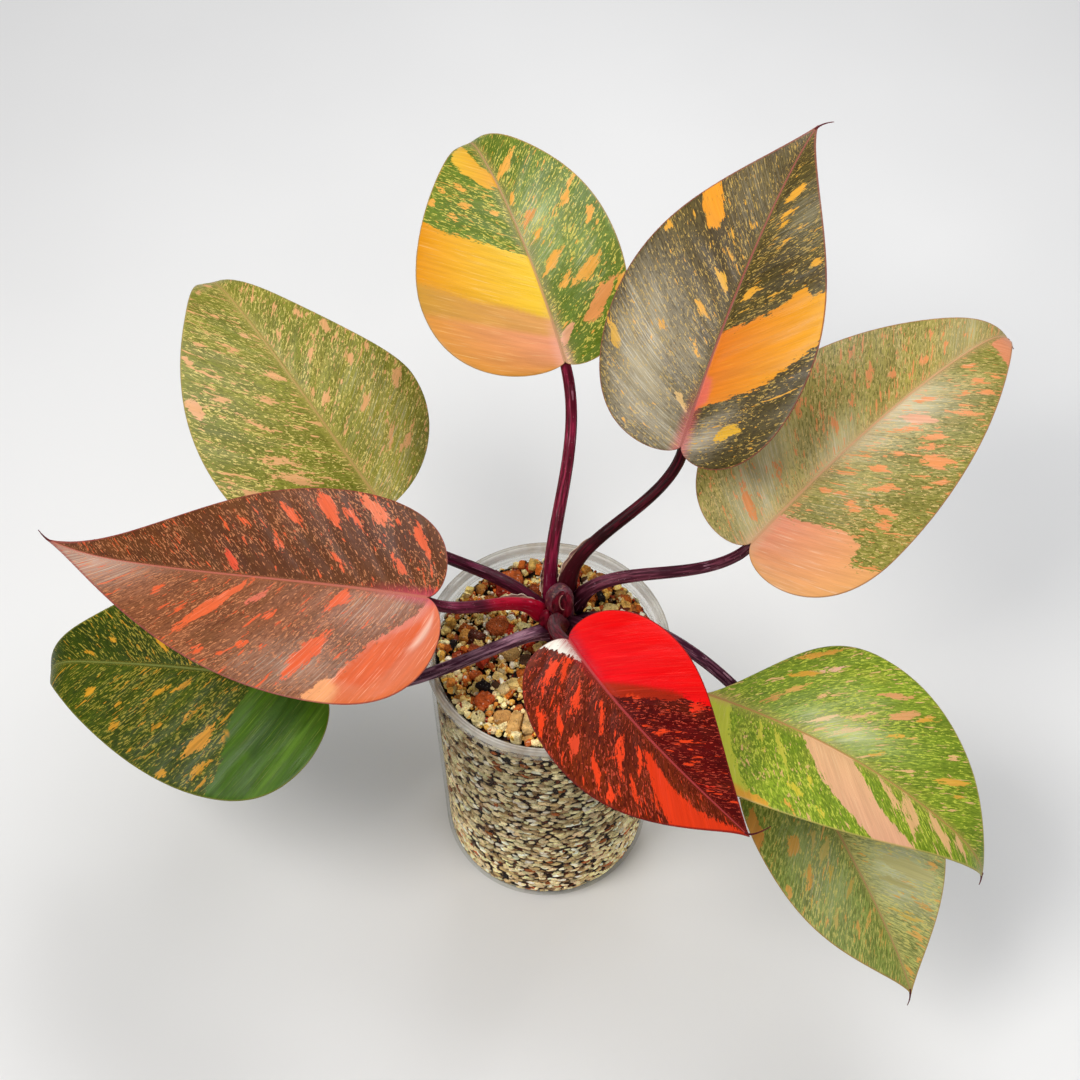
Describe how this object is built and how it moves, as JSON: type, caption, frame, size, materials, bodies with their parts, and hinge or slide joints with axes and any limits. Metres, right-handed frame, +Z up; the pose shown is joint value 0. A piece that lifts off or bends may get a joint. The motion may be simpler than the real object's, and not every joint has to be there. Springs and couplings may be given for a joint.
{
  "type": "potted philodendron",
  "caption": "Bushy aroid house plant with broad pointed leaves variegated in green, orange and red on arching stalks, in a tall clear nursery pot of chunky mix.",
  "frame": {"origin": "middle of the pot's underside, on the surface that the plant stands on", "axes": "+Z up the pot's axis; the picture looks along +Y and down, with +X to its right"},
  "size_m": [0.4224, 0.3298, 0.3034],
  "materials": {
    "clear_plastic": "gloss",
    "mix": "matte",
    "bark": "matte",
    "pumice": "matte",
    "stem": "satin",
    "petiole": "satin",
    "leaf_yellow": "satin",
    "leaf_bronze": "satin",
    "leaf_green": "satin",
    "leaf_red": "satin",
    "leaf_maroon": "satin",
    "leaf_dark_green": "satin"
  },
  "bodies": {
    "root": {"pot": "clear_plastic", "potting_mix": "mix", "stem": "stem", "leaf_stub_1": "stem", "leaf_stub_2": "stem", "bark_piece_1": "bark", "bark_piece_2": "bark", "bark_piece_3": "bark", "bark_piece_4": "bark", "bark_piece_5": "bark", "pumice_piece_1": "pumice", "pumice_piece_2": "pumice", "pumice_piece_3": "pumice", "pumice_piece_4": "pumice", "pumice_piece_5": "pumice", "leaf_1_petiole": "petiole", "leaf_2_petiole": "petiole", "leaf_3_petiole": "petiole", "leaf_4_petiole": "petiole", "leaf_5_petiole": "petiole", "leaf_6_petiole": "petiole", "leaf_7_petiole": "petiole", "leaf_8_petiole": "petiole", "leaf_9_petiole": "petiole", "leaf_1_blade": "leaf_yellow", "leaf_2_blade": "leaf_bronze", "leaf_3_blade": "leaf_bronze", "leaf_4_blade": "leaf_green", "leaf_5_blade": "leaf_bronze", "leaf_6_blade": "leaf_red", "leaf_7_blade": "leaf_maroon", "leaf_8_blade": "leaf_green", "leaf_9_blade": "leaf_dark_green"}
  },
  "joints": []
}
